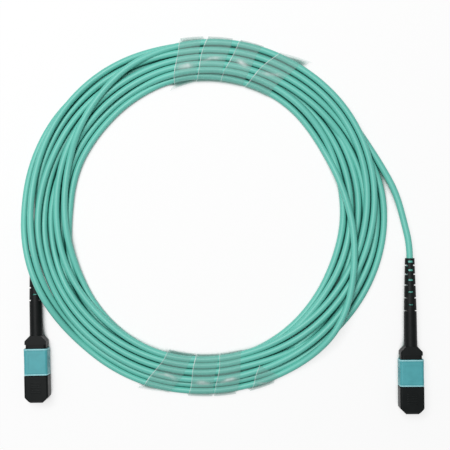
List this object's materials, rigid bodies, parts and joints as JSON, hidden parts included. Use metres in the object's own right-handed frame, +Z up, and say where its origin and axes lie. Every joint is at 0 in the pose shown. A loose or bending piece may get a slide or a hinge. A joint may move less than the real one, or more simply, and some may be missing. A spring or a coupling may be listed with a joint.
{
  "type": "mpo patch cable",
  "caption": "Round aqua multi-fibre patch cable wound in a flat coil held by clear film, with a slotted boot, sliding sleeve and dust cap on the plug at each end.",
  "frame": {"origin": "middle of the outline of the plugs and film strips, on the table", "axes": "+Z up from the table, -Y the way both plugs point, +X from plug b to plug a"},
  "size_m": [0.2094, 0.1944, 0.0114],
  "materials": {
    "cable_jacket": "smooth aqua jacket, soft sheen",
    "film_clear": "thin clear wrapping film",
    "boot_black": "moulded flexible black",
    "cap_black": "moulded black, fine sheen",
    "housing_black": "moulded black",
    "sleeve_turquoise": "moulded turquoise",
    "ferrule_grey": "filled polymer, polished end",
    "silicone_white": "soft white",
    "keeper_steel": "bare",
    "spring_steel": "bright wire",
    "crimp_metal": "bare, crimped",
    "fibre_coating": "coated fibres"
  },
  "bodies": {
    "cable": {"cable_coil": "cable_jacket", "cable_tail_a": "cable_jacket", "cable_tail_b": "cable_jacket", "film_top": "film_clear", "film_bottom": "film_clear", "plug_a_boot": "boot_black", "plug_a_crimp_ring": "crimp_metal", "plug_a_back_body": "housing_black", "plug_a_inner_housing": "housing_black", "plug_a_ferrule_spring": "spring_steel", "plug_a_sleeve_springs": "spring_steel", "plug_a_cable_end": "cable_jacket", "plug_b_boot": "boot_black", "plug_b_crimp_ring": "crimp_metal", "plug_b_back_body": "housing_black", "plug_b_inner_housing": "housing_black", "plug_b_ferrule_spring": "spring_steel", "plug_b_sleeve_springs": "spring_steel", "plug_b_cable_end": "cable_jacket"},
    "cap_a": {"plug_a_dust_cap": "cap_black"},
    "sleeve_a": {"plug_a_coupling_sleeve": "sleeve_turquoise"},
    "ferrule_a": {"plug_a_ferrule": "ferrule_grey", "plug_a_ferrule_boot": "silicone_white", "plug_a_pin_keeper": "keeper_steel", "plug_a_fibre_ribbon": "fibre_coating"},
    "cap_b": {"plug_b_dust_cap": "cap_black"},
    "sleeve_b": {"plug_b_coupling_sleeve": "sleeve_turquoise"},
    "ferrule_b": {"plug_b_ferrule": "ferrule_grey", "plug_b_ferrule_boot": "silicone_white", "plug_b_pin_keeper": "keeper_steel", "plug_b_fibre_ribbon": "fibre_coating"}
  },
  "joints": [
    {"name": "cap_a_slide", "type": "slide", "parent": "cable", "child": "cap_a", "axis": [0.0105, -0.9999, 0], "range_m": [0, 0.016]},
    {"name": "sleeve_a_slide", "type": "slide", "parent": "cable", "child": "sleeve_a", "axis": [-0.0105, 0.9999, 0], "range_m": [0, 0.002], "stiffness_N_per_m": 600, "springref_m": -0.003, "deforming": ["plug_a_sleeve_springs"]},
    {"name": "ferrule_a_slide", "type": "slide", "parent": "cable", "child": "ferrule_a", "axis": [-0.0105, 0.9999, 0], "range_m": [0, 0.001], "stiffness_N_per_m": 3000, "springref_m": -0.0025, "deforming": ["plug_a_ferrule_spring"]},
    {"name": "cap_b_slide", "type": "slide", "parent": "cable", "child": "cap_b", "axis": [0.0227, -0.9997, 0], "range_m": [0, 0.016]},
    {"name": "sleeve_b_slide", "type": "slide", "parent": "cable", "child": "sleeve_b", "axis": [-0.0227, 0.9997, 0], "range_m": [0, 0.002], "stiffness_N_per_m": 600, "springref_m": -0.003, "deforming": ["plug_b_sleeve_springs"]},
    {"name": "ferrule_b_slide", "type": "slide", "parent": "cable", "child": "ferrule_b", "axis": [-0.0227, 0.9997, 0], "range_m": [0, 0.001], "stiffness_N_per_m": 3000, "springref_m": -0.0025, "deforming": ["plug_b_ferrule_spring"]}
  ]
}
